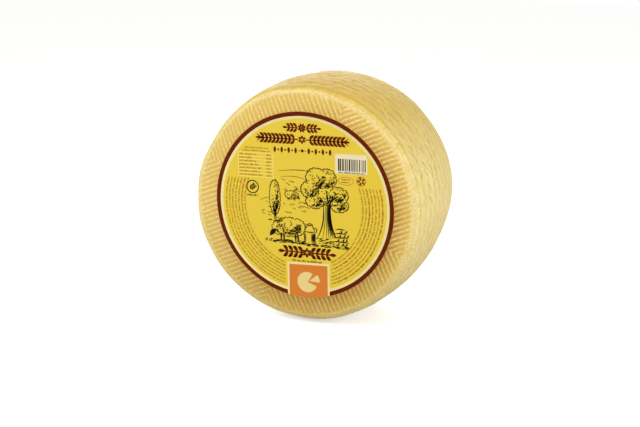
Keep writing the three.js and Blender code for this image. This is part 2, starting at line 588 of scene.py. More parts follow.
def add_rim(skin, ring_angles):
    """Adds the rounded edges and the wall, whose columns are half as many as the faces', evenly spread on the
    wall and led to every second point of the faces' rings at the edges."""
    s = np.linspace(-EDGE_END, EDGE_END, RIM_ROWS + 2)[1:-1, None]
    ring_angles = ring_angles[::2]
    even = ring_angles[0] + TURN * np.arange(len(ring_angles)) / len(ring_angles)
    ease = smooth_step(0, 1, (EDGE_END - np.abs(s)) / (EDGE_END - EVEN_SHARE * WALL_HALF))
    angle = ring_angles + (even - ring_angles) * ease
    radius, depth, outward, forward = rim_outline(s)
    relief, hollow, crest = wall_relief(s, angle)
    radius = radius + relief * outward
    y = depth + relief * forward
    start = sum(len(p) for p in skin["points"])
    columns = len(ring_angles)
    skin["points"].append(round_axis(radius, angle, y))
    skin["marks"].append(pairs(1.0, hollow, crest).reshape(-1, 3))
    skin["fibres"].append(fibre_place(s, angle).reshape(-1, 3))
    skin["quads"].append(grid_quads(RIM_ROWS, columns, start, closed=True)[:, ::-1])
    return start + np.arange(columns), start + (RIM_ROWS - 1) * columns + np.arange(columns)


def stitch(fine, coarse):
    """Pentagons between a ring and another with half as many points."""
    return np.stack([fine[::2], fine[1::2], np.roll(fine, -2)[::2], np.roll(coarse, -1), coarse], -1)


skin = {"points": [], "marks": [], "fibres": [], "quads": [], "triangles": []}
front_ring = add_face(skin, np.linspace(FRONT_START_RADIUS, RIB_END_RADIUS, FRONT_ROWS), -1)
back_ring = add_face(skin, np.linspace(CAP_RADIUS, RIB_END_RADIUS, BACK_ROWS), 1)
ring_points = skin["points"][0][front_ring]
ring_angles = np.unwrap(np.arctan2(ring_points[:, 2], ring_points[:, 0]))
front_edge, back_edge = add_rim(skin, ring_angles)
pentagons = np.vstack([stitch(front_ring, front_edge)[:, ::-1], stitch(back_ring, back_edge)])


def make_piece(name, points, polygon_sets, attributes=()):
    """A mesh object from points and arrays of polygons, with optional point attributes of three numbers."""
    data = bpy.data.meshes.new(name)
    data.from_pydata(points.tolist(), [], [p for polygons in polygon_sets for p in polygons.tolist()])
    for label, values in dict(attributes).items():
        layer = data.attributes.new(label, "FLOAT_VECTOR", "POINT")
        layer.data.foreach_set("vector", np.ascontiguousarray(values, dtype=np.float32).ravel())
    data.update()
    piece = add_object(name, data)
    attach(piece, "root")
    return piece


def open_sides(piece):
    """How many edges of a piece don't have two faces that run along them in opposite directions."""
    data = piece.data
    edges, starts = np.empty(len(data.loops), dtype=np.int32), np.empty(len(data.loops), dtype=np.int32)
    data.loops.foreach_get("edge_index", edges)
    data.loops.foreach_get("vertex_index", starts)
    ends = np.empty(2 * len(data.edges), dtype=np.int32)
    data.edges.foreach_get("vertices", ends)
    forward = np.where(ends[::2][edges] == starts, 1, -1)
    uses = np.bincount(edges, minlength=len(data.edges))
    balance = np.bincount(edges, weights=forward, minlength=len(data.edges))
    return int(((uses != 2) | (balance != 0)).sum())


def enclosed_volume(points, polygon_sets):
    """Volume inside closed polygons, positive when they face outwards."""
    total = 0.0
    for polygons in polygon_sets:
        for k in range(1, polygons.shape[1] - 1):
            a, b, c = points[polygons[:, 0]], points[polygons[:, k]], points[polygons[:, k + 1]]
            total += np.einsum("ij,ij->i", a, np.cross(b, c)).sum() / 6
    return total


# Middle (degrees), half width (degrees) and height (mm) of the places where the wheel is out of round.
OUT_OF_ROUND = ((144, 19, -2.2), (10, 16, 1.4), (204, 26, 0.8))


def out_of_round(points):
    """Points moved along their radius by bell curves of angle, fully at the rim and not at all under the
    label. Outward places belong to the belly and the back, so they leave the front edge alone."""
    radius, angle = np.hypot(points[:, 0], points[:, 2]), np.degrees(np.arctan2(points[:, 2], points[:, 0]))
    shift = np.zeros(len(points))
    for middle_angle, half_angle, height in OUT_OF_ROUND:
        away = (angle - middle_angle + 180) % 360 - 180
        share = 1.0 if height < 0 or middle_angle > 180 else smooth_step(-0.9 * HALF_WIDTH, 0, points[:, 1])
        shift += height * MM * np.exp(-((away / half_angle) ** 2)) * share
    factor = 1 + shift * smooth_step(FLAT_RADIUS, BELLY_RADIUS - EDGE_RADIUS, radius) / np.maximum(radius, MM)
    return points * np.stack([factor, np.ones(len(points)), factor], -1)


all_points = out_of_round(np.vstack(skin["points"]))
all_points[:, 2] += AXIS_HEIGHT
all_points[:, 2] = np.maximum(all_points[:, 2], wheel_low.z)
kept, became = weld(all_points)
skin_quads, thin = without_lost_sides(became[np.vstack(skin["quads"])])
skin_polygons = [skin_quads, thin, became[np.vstack(skin["triangles"])], became[pentagons]]
skin_points = all_points[kept]
cheese = make_piece(
    "cheese_wheel",
    skin_points,
    skin_polygons,
    {"relief_marks": np.vstack(skin["marks"])[kept], "fibre_place": np.vstack(skin["fibres"])[kept]},
)
cheese.data.shade_smooth()
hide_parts("cheese")
print("skin:", len(cheese.data.polygons), "faces,", open_sides(cheese), "open sides,",
      round(enclosed_volume(skin_points, skin_polygons) * 1e6), "cm3")

# %% [markdown]
# ## The rind
# The rind is a pale, waxy skin over a translucent cheese. It is palest on the crests, which dry and rub
# first, and deeper in colour in the hollows, where brine and oil gather; part of both is painted light on
# the crests and painted shade in the hollows. Colour also paints shade beside the label and at the foot,
# light on the top of the wall, and glints on the ribs. The skin's point patterns say where the ribs, the
# hollows and the crests are. Noise adds what is finer: blotches, pores, and the strands and threads that
# the woven band left. Its places have the bundles' lean taken out, so it runs along the bundles.

# %% Rind material
RIND_COLOURS = {
    "ridge": colour(234, 208, 124),
    # The colours by the label and the shaded groove are painted shade.
    "ridge in shade by the label": colour(218, 182, 104),
    "groove": colour(226, 189, 92),
    "shaded groove": colour(222, 182, 76),
    "groove in shade by the label": colour(186, 138, 44),
    # Painted highlight: glints on the ribs.
    "painted_glint": colour(246, 234, 190),
    "wall": colour(239, 216, 130),
    "wall hollow": colour(216, 180, 82),
    "blotch": colour(220, 188, 100),
    "pale strand": colour(250, 237, 176),
    "deep strand": colour(212, 178, 88),
    "pale thread": colour(246, 236, 186),
}
# Painted light: the top of the wall is tinted warmer and darker in place of how the light falls there.
TOP_LIGHT_TINT = (0.9, 0.76, 0.34, 1)
# Painted shade: darkens the lower part of the rind, which faces down and away from the light.
FOOT_SHADE_TINT = (0.78, 0.75, 0.66, 1)
STRANDS_PER_METRE = (600.0, 600.0, 70.0)
THREADS_PER_METRE = (1300.0, 1300.0, 120.0)
# Width of the band of painted shade beside the label.
SHADE_BAND = 13 * MM
EDGE_LINE_TURNS = (0.64, 1.18)
EDGE_LINE_DEPTH = 0.4
BUMP_HEIGHT = 0.45 * MM


def label_shade(board, x, y, z):
    """Painted shade on the rind beside the label: a band of the front face, strongest towards the lower
    right.
    Also how far to the lower right each place is, which paints shade on the grooves there."""
    up = board.minus(z, AXIS_HEIGHT)
    from_axis = board.vector("LENGTH", board.join(x, 0.0, up))
    band = board.step(from_axis, LABEL_RADIUS - 1 * MM, LABEL_RADIUS + SHADE_BAND, 1.0, 0.0)
    lower_right = board.minus(x, board.times(up, 0.6))
    shaded = board.step(lower_right, -0.8 * BELLY_RADIUS, 0.8 * BELLY_RADIUS)
    band = board.times(band, board.math("MULTIPLY_ADD", shaded, 0.8, 0.2))
    return board.times(band, board.step(y, -0.2 * HALF_WIDTH, 0.0, 1.0, 0.0)), shaded


def rind_material():
    """Rind colour from the rib and plait patterns, partly painted light and shade, with fibres, pores and
    edge lines as fine bumps.
    """
    material, board, inputs = new_material(
        "rind_wax", Roughness=0.36, IOR=1.45, Specular_IOR_Level=0.5, Subsurface_Weight=0.3,
        Subsurface_Radius=(1.0, 0.85, 0.45), Subsurface_Scale=1.5 * MM,
    )
    place = board.place()
    x, y, z = board.split(place)
    rib, hollow, crest = board.split(board.attribute("relief_marks"))
    fibres = board.attribute("fibre_place")
    on_wall = board.step(board.math("ABSOLUTE", y), HALF_WIDTH - 3.0 * MM, HALF_WIDTH - 0.9 * MM, 1.0, 0.0)

    def laid_over(base, name, share):
        """A colour with a share of a named one laid over it."""
        return board.mix(share, base, RIND_COLOURS[name])

    # Painted shade: ribs and grooves darken in a band beside the label, and grooves darken towards the lower
    # right.
    shade_by_label, shaded = label_shade(board, x, y, z)
    groove = laid_over(RIND_COLOURS["groove"], "shaded groove", shaded)
    groove = laid_over(groove, "groove in shade by the label", shade_by_label)
    ridge = laid_over(RIND_COLOURS["ridge"], "ridge in shade by the label", shade_by_label)
    unevenness = board.times(board.minus(board.noise(place, 750, 1), 0.5), 0.9)
    paleness = board.math("ADD", rib, board.times(unevenness, rib))
    # Pale ribs and deep grooves: partly the rind's own colour, partly painted light on the crests and painted
    # shade in the grooves.
    face_colour = board.mix(board.step(paleness, 0.0, 1.0), groove, ridge)
    # Darker wall hollows: partly the rind's own colour, partly painted shade in the valleys.
    wall_colour = laid_over(RIND_COLOURS["wall"], "wall hollow", board.step(hollow, 0.1, 0.9))
    skin_colour = board.mix(on_wall, face_colour, wall_colour)
    blotches = board.step(board.noise(place, 60, 3), 0.4, 0.75, 0.0, 0.35)
    skin_colour = laid_over(skin_colour, "blotch", blotches)

    strand = board.noise(board.vector("MULTIPLY", fibres, STRANDS_PER_METRE), 1.0, 1)
    thread = board.noise(board.vector("MULTIPLY", fibres, THREADS_PER_METRE), 1.0, 2)
    on_strands = board.times(board.step(crest, 0.0, 1.0, 0.45, 1.0), on_wall)
    for name, share, where in (
        ("pale strand", board.step(strand, 0.45, 0.65, 0.0, 0.95), on_strands),
        ("deep strand", board.step(strand, 0.45, 0.3, 0.0, 0.35), on_wall),
        ("pale thread", board.step(thread, 0.52, 0.7, 0.0, 0.9), on_strands),
    ):
        skin_colour = laid_over(skin_colour, name, board.times(share, where))
    # Painted glints: pale specks on the ribs stand in for highlights.
    on_ridge = board.times(board.step(rib, 0.55, 1.0), board.math("MULTIPLY_ADD", on_wall, -0.8, 1.0))
    painted_glint = board.step(board.noise(place, 900, 0), 0.5, 0.66, 0.0, 0.8)
    skin_colour = laid_over(skin_colour, "painted_glint", board.times(painted_glint, on_ridge))
    # Painted light: the top of the wall is tinted warmer and darker.
    near_top = board.times(board.step(z, 0.6 * wheel_high.z, wheel_high.z), on_wall)
    # Painted shade: the rind darkens towards the foot.
    near_foot = board.step(z, 0.0, 0.5 * wheel_high.z, 1.0, 0.0)
    for share, tint in ((near_top, TOP_LIGHT_TINT), (near_foot, FOOT_SHADE_TINT)):
        skin_colour = board.vector("MULTIPLY", skin_colour, board.mix(share, WHITE, tint))
    board.put(inputs["Base Color"], skin_colour)

    woven = board.times(board.math("ADD", board.times(strand, 1.1), thread), on_wall)
    height = board.math("ADD", woven, board.times(board.noise(place, 900, 2), 0.12))
    ragged = board.times(board.minus(board.noise(place, 160, 3), 0.5), 3.5 * MM)
    across = board.math("ADD", board.math("ABSOLUTE", board.split(fibres)[2]), ragged)
    for turn in EDGE_LINE_TURNS:
        away = board.math("ABSOLUTE", board.minus(across, WALL_HALF + EDGE_RADIUS * (turn - wall_turn)))
        height = board.minus(height, board.step(away, 0.2 * MM, 1.2 * MM, EDGE_LINE_DEPTH, 0.0))
    board.put(inputs["Normal"], board.bump(height, BUMP_HEIGHT, 1.0))
    return material


cheese.data.materials.append(rind_material())
print("rind material with", len(cheese.data.materials[0].node_tree.nodes), "nodes")

# %% [markdown]
# ## The label
# The label is a disc of satin yellow paper in a shallow seat. A maroon ring is printed round its edge,
# inside it lies a thin ring of gold foil, and the rest is the yellow field.

# %% Discs and rings
LABEL_COLUMNS = 360
INK_THICKNESS = 0.03 * MM


def ring_prism(name, inner, outer, front, back, corner=0.0):
    """A closed flat ring about the wheel's axis, carried round by a rectangle of its section. An inner radius
    of zero makes a disc."""
    section = np.array([
        [inner, front], [outer - corner, front], [outer, front + corner], [outer, back], [inner, back],
    ])
    if corner == 0:
        section = section[[0, 1, 3, 4]]
    columns = LABEL_COLUMNS
    angle = TURN * np.arange(columns) / columns
    radius = section[:, 0, None]
    points = round_axis(radius, angle, section[:, 1, None]) + (0, 0, AXIS_HEIGHT)
    rows = len(section)
    quads = grid_quads(rows, columns, 0, closed=True)
    last = np.arange(columns) + (rows - 1) * columns
    first = np.arange(columns)
    closing = np.stack([last, np.roll(last, -1), np.roll(first, -1), first], -1)
    if inner > 0:
        polygons = [np.vstack([quads, closing])]
    else:
        kept, became = weld(points)
        whole, triangles = without_lost_sides(became[quads])
        points = points[kept]
        polygons = [whole, triangles]
    polygons = [p[:, ::-1] for p in polygons]
    piece = make_piece(name, points, polygons)
    print(name, open_sides(piece), "open sides,", round(enclosed_volume(points, polygons) * 1e9), "mm3")
    return piece


RING_INNER = 72.9 * MM
FOIL_INNER = 70.6 * MM
paper = ring_prism("label_paper", 0, LABEL_RADIUS, LABEL_FRONT, LABEL_BACK, corner=0.05 * MM)
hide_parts("label")
RING_BACK = LABEL_FRONT + 0.1 * MM
ring_front, foil_front = LABEL_FRONT - INK_THICKNESS, LABEL_FRONT - 1.3 * INK_THICKNESS
maroon_ring = ring_prism("label_rim_print", RING_INNER, LABEL_RADIUS - 0.1 * MM, ring_front, RING_BACK)
foil_ring = ring_prism("label_foil_ring", FOIL_INNER, RING_INNER, foil_front, RING_BACK)

# %% Label materials
def paper_waves():
    """A group that gives the slow waves of paper glued over an uneven face, as a normal."""
    group = bpy.data.node_groups.new("paper_waves", "ShaderNodeTree")
    group.interface.new_socket("Normal", in_out="OUTPUT", socket_type="NodeSocketVector")
    board = Board(group)
    place = board.place()
    height = board.math("ADD", board.noise(place, 70, 2), board.times(board.noise(place, 1500, 2), 0.01))
    board.node("NodeGroupOutput", {"Normal": board.bump(height, 0.6 * MM, 0.5)})
    return group


PAPER_WAVES = paper_waves()


def print_material(name, base, roughness=0.4, metallic=0.0):
    """A print on the label: one colour, a satin surface and the paper's waves."""
    material, board, inputs = new_material(
        name, Base_Color=base, Roughness=roughness, Metallic=metallic, Specular_IOR_Level=0.08
    )
    board.put(inputs["Normal"], board.node("ShaderNodeGroup", node_tree=PAPER_WAVES).outputs["Normal"])
    return material


FIELD_YELLOW = print_material("field_yellow", colour(228, 198, 64))
MAROON = print_material("maroon_ink", colour(100, 28, 0), 0.45)
GOLD_FOIL = print_material("gold_foil", colour(255, 240, 168), 0.22, 1.0)
ORANGE = print_material("orange_ink", colour(214, 126, 50), 0.35)
for piece, material in ((paper, FIELD_YELLOW), (maroon_ring, MAROON), (foil_ring, GOLD_FOIL)):
    piece.data.materials.append(material)
    print(piece.name, "is made of", material.name)

# %% [markdown]
# ## Printing by strokes
# Everything printed on the label is a mark of ink: a path with a width at every point. A constant width
# gives a line, a width that swells in the middle gives a leaf or a pen stroke, and the width of a circle's
# chords gives a round dot. Each mark becomes a thin closed block whose back lies inside the paper, and all
# marks of one ink are one piece. Paths are in millimetres from the label's centre, x to the right and z up.

# %% Ink blocks
INK_ROOT = 0.05 * MM
LABEL_TILT = math.radians(0.8)
THIN = 0.03


def ink(name, stroke_sets, material, layer=1):
    """One piece of ink from sets of paths (marks, stations, 2) and widths (marks, stations). Each station has
    four corners: half a width to both sides of the path, on the print's front and inside the paper. Widths
    are measured square to the path, or along a direction that a set gives as a third value. An ink printed
    over others lies in a higher layer."""
    front = LABEL_FRONT - layer * INK_THICKNESS
    points, quads, count = [], [], 0
    for paths, widths, *direction in stroke_sets:
        heading = np.gradient(paths, axis=1)
        heading = heading / np.linalg.norm(heading, axis=-1, keepdims=True)
        aside = direction[0] if direction else np.stack([-heading[..., 1], heading[..., 0]], -1)
        aside = aside * np.maximum(widths, THIN)[..., None] / 2
        flat = np.stack([paths + aside, paths - aside, paths - aside, paths + aside], 2)
        marks, stations = flat.shape[:2]
        right, up = flat[..., 0], flat[..., 1]
        x = (right * math.cos(LABEL_TILT) - up * math.sin(LABEL_TILT)) * MM
        z = (right * math.sin(LABEL_TILT) + up * math.cos(LABEL_TILT)) * MM + AXIS_HEIGHT
        y = np.broadcast_to([front] * 2 + [LABEL_FRONT + INK_ROOT] * 2, x.shape)
        points.append(np.stack([x, y, z], -1).reshape(-1, 3))
        first = count + 4 * stations * np.arange(marks)[:, None, None]
        here = first + 4 * np.arange(stations - 1)[:, None] + np.arange(4)
        beside = first + 4 * np.arange(stations - 1)[:, None] + (np.arange(4) + 1) % 4
        quads.append(np.stack([here, beside, beside + 4, here + 4], -1).reshape(-1, 4))
        start_cap = first[:, 0] + np.array([3, 2, 1, 0])
        quads += [start_cap, start_cap[:, ::-1] + 4 * (stations - 1)]
        count += 4 * stations * marks
    piece = make_piece(name, np.concatenate(points), [np.concatenate(quads)])
    piece.data.materials.append(material)
    print(name, sum(len(marks[0]) for marks in stroke_sets), "marks,", open_sides(piece), "open sides")
    return piece


def toward(angle):
    """Directions at the given angles, as pairs of across and up."""
    return pairs(np.cos(angle), np.sin(angle))


def column(values):
    """Numbers as a column, one for each mark, or a single one for all of them."""
    return np.asarray(values, dtype=float).reshape(-1, 1)


def bars(starts, ends, width):
    """Straight marks of constant width."""
    paths = np.stack([np.atleast_2d(starts), np.atleast_2d(ends)], 1).astype(float)
    return paths, np.broadcast_to(column(width), paths.shape[:2])


def leaves(starts, ends, width, sag=0.0, stations=9):
    """Marks that swell in the middle like a leaf, bowed aside by sag times their length."""
    t = np.linspace(0, 1, stations)[:, None]
    starts, ends = np.atleast_2d(starts)[:, None].astype(float), np.atleast_2d(ends)[:, None].astype(float)
    along = ends - starts
    aside = along[..., ::-1] * (-1, 1) * column(sag)[..., None]
    paths = starts + along * t + aside * 4 * t * (1 - t)
    return paths, column(width) * np.sin(math.pi * t[:, 0]) ** 0.8


def curls(centres, radii, start, sweep, width, stations=8):
    """Arcs of a circle that thin out towards both ends, or keep their width when they close."""
    t = np.linspace(0, 1, stations)
    angle = column(start) + column(sweep) * t
    centres = np.atleast_2d(centres)[:, None].astype(float)
    paths = centres + column(radii)[..., None] * toward(angle)
    full_circle = np.abs(column(sweep)) >= TURN - 1e-6
    swell = np.where(full_circle, 1.0, 0.25 + 0.75 * np.sin(math.pi * t))
    return paths, column(width) * np.broadcast_to(swell, angle.shape)


def dots(centres, radii):
    """Round dots: at each station the width is the chord of the circle."""
    t = np.linspace(0, math.pi, 13)
    centres = np.atleast_2d(centres)
    reach = np.broadcast_to(column(radii), (len(centres), 1))
    paths = centres[:, None] + np.stack([-np.cos(t) * reach, np.zeros_like(t) * reach], -1)
    return paths, 2 * reach * np.sin(t)


def both_sides(stroke_sets, about=0.0):
    """Marks together with the same marks flipped left to right about an upright line."""
    flipped = [(paths * (-1, 1) + (2 * about, 0), widths) for paths, widths in stroke_sets]
    return stroke_sets + [(paths[:, ::-1], widths[:, ::-1]) for paths, widths in flipped]


print("the ink is", INK_THICKNESS / MM, "mm thick in each layer")

# %% [markdown]
# ## Ornaments in the place of the title
# Where a maker would put a name, this label has garlands: a rosette with sprigs, two ears of wheat, a row
# of lozenges and dots, and a branch with berries. They keep the weight and the place of a title and say
# nothing.

# %% Maroon garlands
def leaf_pairs(x, z, length, width, spread, sag=0.12):
    """A pair of leaves at each place along a stem, one leaning up and one down."""
    starts = np.concatenate([pairs(x, z), pairs(x, z)])
    lean = np.repeat([spread, -spread], len(np.atleast_1d(x)))
    length = np.tile(np.broadcast_to(length, np.shape(x)), 2)
    ends = starts + toward(lean) * length[:, None]
    return leaves(starts, ends, width, np.sign(lean) * sag)


def rosette(centre, inner, outer, petals, width):
    """Petals that point out from a centre."""
    out = toward(TURN * (np.arange(petals) + 0.5) / petals)
    return leaves(np.add(centre, out * inner), np.add(centre, out * outer), width)


FIRST_ROW = 63.4
first_side = [
    bars([(3.6, FIRST_ROW)], [(13.4, FIRST_ROW)], 1.0),
    leaf_pairs(np.array([4.4, 7.4, 10.4]), FIRST_ROW, np.array([5.0, 4.8, 4.2]), 2.2, 0.8),
    leaves([(12.4, FIRST_ROW)], [(16.6, FIRST_ROW)], 2.0),
]
SECOND_ROW = 54.0
grain_x = 6.5 + 3.3 * np.arange(9)
second_side = [
    bars([(3.2, SECOND_ROW)], [(34.0, SECOND_ROW)], 1.0),
    leaf_pairs(grain_x, SECOND_ROW, 5.6, 2.4, 0.78),
    leaf_pairs(grain_x[1:] - 0.6, SECOND_ROW, 2.6, 1.1, 0.3, 0.0),
    leaves([(33.4, SECOND_ROW)], [(40.4, SECOND_ROW)], 2.4),
    leaves([(35.0, SECOND_ROW)] * 2, [(39.6, SECOND_ROW + 3.2), (39.6, SECOND_ROW - 3.2)], 0.7),
]
THIRD_ROW = 45.0
lozenge_x = 5.6 + 6.0 * np.arange(4)
third_side = [
    leaves(pairs(lozenge_x, THIRD_ROW - 2.6), pairs(lozenge_x, THIRD_ROW + 2.6), 2.3),
    dots(pairs(lozenge_x[:3] + 3.0, THIRD_ROW), 0.8),
    leaves([(3.4, THIRD_ROW)], [(1.9, THIRD_ROW)], 0.8),
]
BOLD_ROW = -38.7
BOLD_MIDDLE = 2.7
berry_x = 5.6 + 4.3 * np.arange(4)
bold_side = [
    bars([(2.8, 0)], [(21.0, 0)], 1.3),
    leaf_pairs(berry_x - 1.6, 0, 6.2, 3.0, 0.85),
    dots(np.concatenate([pairs(berry_x + 0.2, 3.9), pairs(berry_x + 0.2, -3.9)]), 0.9),
    leaves([(19.6, 0)], [(25.4, 0)], 3.0),
]
bold_side = [(paths + (BOLD_MIDDLE, BOLD_ROW), widths) for paths, widths in bold_side]
garlands = (
    both_sides(first_side) + both_sides(second_side) + both_sides(third_side)
    + both_sides(bold_side, BOLD_MIDDLE)
    + [rosette((0, FIRST_ROW), 0.7, 4.0, 8, 1.8), dots([(0, FIRST_ROW)], 0.8)]
    + [rosette((0, SECOND_ROW), 0.6, 3.6, 6, 2.0), dots([(0, THIRD_ROW)], 1.3)]
    + [rosette((BOLD_MIDDLE, BOLD_ROW), 0.6, 4.2, 6, 2.4)]
)
ink("label_garlands", garlands, MAROON)

# %% [markdown]
# ## Small print
# Small print is only suggested. Little upright ticks of uneven height stand in groups, on straight rows and
# on arcs that follow the label's edge, so the label looks written on from afar and holds no letters.

# %% Ticks in place of small print
SMALL_PITCH = 2.75
TICK_STEP = 0.7


def tick_places(length, seed, step=TICK_STEP):
    """Distances along a row where ticks stand, with a gap after every few, and their heights and widths."""
    draw = chance(seed)
    count = max(int(length / step), 2)
    gaps = np.cumsum(draw.integers(4, 13, count)) + np.arange(count)
    keep = ~np.isin(np.arange(count), gaps)
    place = (np.arange(count) + draw.uniform(-0.12, 0.12, count)) * step
    return place[keep], draw.uniform(0.8, 1.6, count)[keep], draw.uniform(0.3, 0.5, count)[keep]


def straight_print(x_start, x_end, z, seed, size=1.0):
    """Ticks along a level row."""
    place, height, width = tick_places(x_end - x_start, seed, TICK_STEP * size)
    x = x_start + place
    return bars(pairs(x, z), pairs(x + 0.1 * height, z + height * size), width * size)


def round_print(radius, start, end, seed, bold):
    """Ticks along an arc about the label's centre, pointing away from it."""
    place, height, width = tick_places(abs(end - start) * radius, seed)
    out = toward(start + np.sign(end - start) * place / radius)
    return bars(out * radius, out * (radius + height)[:, None], width * bold)


PRINT_ROWS = 7
BOLD = 1.35
PANEL_LEFT, PANEL_RIGHT = -15.6, 22.8
TABLE_LEFT, TABLE_RIGHT, TABLE_TOP, TABLE_ROW = -56.0, -25.4, 41.0, 2.8
small_print = []
for row in range(PRINT_ROWS):
    radius = 67.0 - SMALL_PITCH * row
    top, end = math.pi - math.asin(19.4 / radius), math.pi + math.acos(-PANEL_LEFT / radius)
    small_print.append(round_print(radius, top, end, 100 + row, BOLD if row == 5 else 1.0))
    radius = 66.6 - SMALL_PITCH * row
    top, end = math.asin(17.5 / radius), -math.acos(PANEL_RIGHT / radius)
    small_print.append(round_print(radius, top, end, 200 + row, BOLD if row in (0, 4) else 1.0))
small_print += [straight_print(-50, -29, 44.6, 301, 0.9), straight_print(-52, -28, 42.2, 302, 0.9)]
for row in range(PRINT_ROWS):
    base = TABLE_TOP - TABLE_ROW * (row + 1) + 0.8
    words = chance(310 + row).uniform(0.35, 0.72) * (TABLE_RIGHT - TABLE_LEFT)
    small_print.append(straight_print(TABLE_LEFT + 1, TABLE_LEFT + words, base, 320 + row))
    small_print.append(straight_print(TABLE_RIGHT - 5.5, TABLE_RIGHT - 1, base, 340 + row))
ink("label_small_print", small_print, print_material("brown_ink", colour(162, 104, 30)))

# %% Table rules
RULE_WIDTH = 0.32
rule_z = TABLE_TOP - TABLE_ROW * np.arange(PRINT_ROWS + 1)
side_x = (TABLE_LEFT, TABLE_RIGHT)
rules = [
    bars(pairs(TABLE_LEFT, rule_z), pairs(TABLE_RIGHT, rule_z), RULE_WIDTH),
    bars(pairs(side_x, TABLE_TOP), pairs(side_x, rule_z[-1]), RULE_WIDTH),
]
ink("label_table_rules", rules, print_material("cream_ink", colour(246, 230, 150)))

# %% [markdown]
# ## Patch, marks and panel
# A shop's bar pattern sits on a pale patch, with bars of chance widths and no digits. The small marks are a
# plain oval with two lines of ticks in it and a rosette in a ring. An orange panel with a gold border
# crosses the label's rim at the bottom, and carries a cut wheel of cheese.

# %% Patch with bars
BLACK = print_material("black_ink", colour(34, 28, 14))
PATCH_WIDTH = 15.6
BARS_LEFT, BARS_RIGHT, BARS_LOW, BARS_HIGH = 30.8, 53.4, 31.0, 40.6
patch_left, patch_right = (27.8, 36.4), (54.4, 36.9)
patch_white = print_material("patch_white", colour(232, 219, 182), 0.45)
ink("label_patch", [bars([patch_left], [patch_right], PATCH_WIDTH)], patch_white)
bar_draw = chance(7)
bar_step = bar_draw.choice([1.1, 1.5, 2.0], 34)
bar_x = BARS_LEFT + np.cumsum(bar_step) - bar_step[0]
bar_x = bar_x[bar_x < BARS_RIGHT]
bar_width = np.minimum(bar_draw.choice([0.5, 0.8, 1.2], len(bar_x)), bar_step[: len(bar_x)] - 0.5)
patch_bars = [bars(pairs(bar_x, BARS_LOW), pairs(bar_x, BARS_HIGH), bar_width)]
patch_bars += [straight_print(30.5, 53.5, 29.2, 9, 0.8)]
ink("label_patch_bars", patch_bars, BLACK, 2)

# %% Small marks
oval_turn = TURN * np.arange(33) / 32
oval_path = pairs(36.6 + 6.4 * np.cos(oval_turn), 22.9 + 3.2 * np.sin(oval_turn))[None]
ROSETTE_MIDDLE = (49.4, 23.5)
brown_marks = [
    (oval_path, np.full((1, len(oval_turn)), 0.3)),
    straight_print(33, 40.5, 23.6, 31, 0.8),
    straight_print(33, 40.5, 21.4, 32, 0.8),
    rosette(ROSETTE_MIDDLE, 0.6, 3.8, 5, 2.1),
    curls([ROSETTE_MIDDLE], 3.7, 0.0, TURN, 0.4, 33),
]
ink("label_brown_marks", brown_marks, print_material("mark_ink", colour(140, 62, 22)))

# %% Panel
PANEL_TILT = 0.03
EDGE_MARGIN = 0.15


def panel_block(x_low, x_high, top, margin):
    """An upright block of the panel: columns from near the label's edge up to a slightly tilted top."""
    x = np.linspace(x_low, x_high, 24)
    foot = -np.sqrt((LABEL_RADIUS / MM - margin) ** 2 - x**2)
    head = top + PANEL_TILT * (x - x_low)
    return pairs(x, (foot + head) / 2)[None], (head - foot)[None], np.array([0.0, 1.0])


ink("label_panel_border", [panel_block(-14.6, 21.9, -47.7, EDGE_MARGIN)], GOLD_FOIL, 2)
ink("label_panel", [panel_block(-13.0, 20.3, -49.3, EDGE_MARGIN + 0.05)], ORANGE, 3)
EMBLEM_MIDDLE = (2.6, -63.4)
SLICE_SHIFT = (2.2, 1.3)
EMBLEM_RADIUS = 8.6
cut_wheel = [
    curls([EMBLEM_MIDDLE], EMBLEM_RADIUS / 2, 0.95, TURN - 1.25, 1, 40),
    curls([np.add(EMBLEM_MIDDLE, SLICE_SHIFT)], EMBLEM_RADIUS / 2, -0.12, 0.85, 1, 8),
]
cut_wheel = [(paths, np.full(widths.shape, EMBLEM_RADIUS)) for paths, widths in cut_wheel]
ink("label_emblem", cut_wheel, print_material("emblem_cream", colour(232, 208, 138)), 4)

# %% [markdown]
# ## The engraving
# The picture is drawn in the manner of an old wood engraving, with swelling strokes for outlines and shade.
# It shows an oak by a stone wall with a milk churn, two grazing ewes, a slim poplar and furrows on a hill.
# Wool and leaves are the same mark, a short curl, set by chance inside round shapes and thickest on the
# shaded side. A ring with a leaf in it, and two rows of ticks, are printed in the same black.

# %% Curls inside and around round shapes
TO_SHADE = (0.7, -0.7)


def inside_round(shape, count, seed, bias):
    """Chance places inside an ellipse (x, z, half width, half height), kept more often towards the shade."""
    draw = chance(seed)
    reach, turn = np.sqrt(draw.uniform(0, 1, count)), draw.uniform(0, TURN, count)
    unit = toward(turn) * reach[:, None] * 0.92
    keep = draw.uniform(0, 1, count) < 0.5 + bias * 0.5 * (unit @ np.array(TO_SHADE))
    return (np.array(shape[:2]) + unit * shape[2:])[keep]


def scallops(shape, size, seed, others, width):
    """Short arcs that bulge outwards all round an ellipse, except where another ellipse covers them."""
    x, z, a, b = shape
    count = int(TURN * math.sqrt((a * a + b * b) / 2) / size)
    draw = chance(seed)
    turn = TURN * (np.arange(count) + draw.uniform(-0.2, 0.2, count)) / count
    centres = toward(turn) * (a, b) + (x, z)
    shown = np.ones(count, dtype=bool)
    for other in others:
        shown &= (((centres - other[:2]) / other[2:]) ** 2).sum(1) > 1.02
    out = np.arctan2(np.sin(turn) * a, np.cos(turn) * b)
    radii = size * draw.uniform(0.5, 0.75, count)
    return curls(centres[shown], radii[shown], (out - 1.5)[shown], 3.0, width)


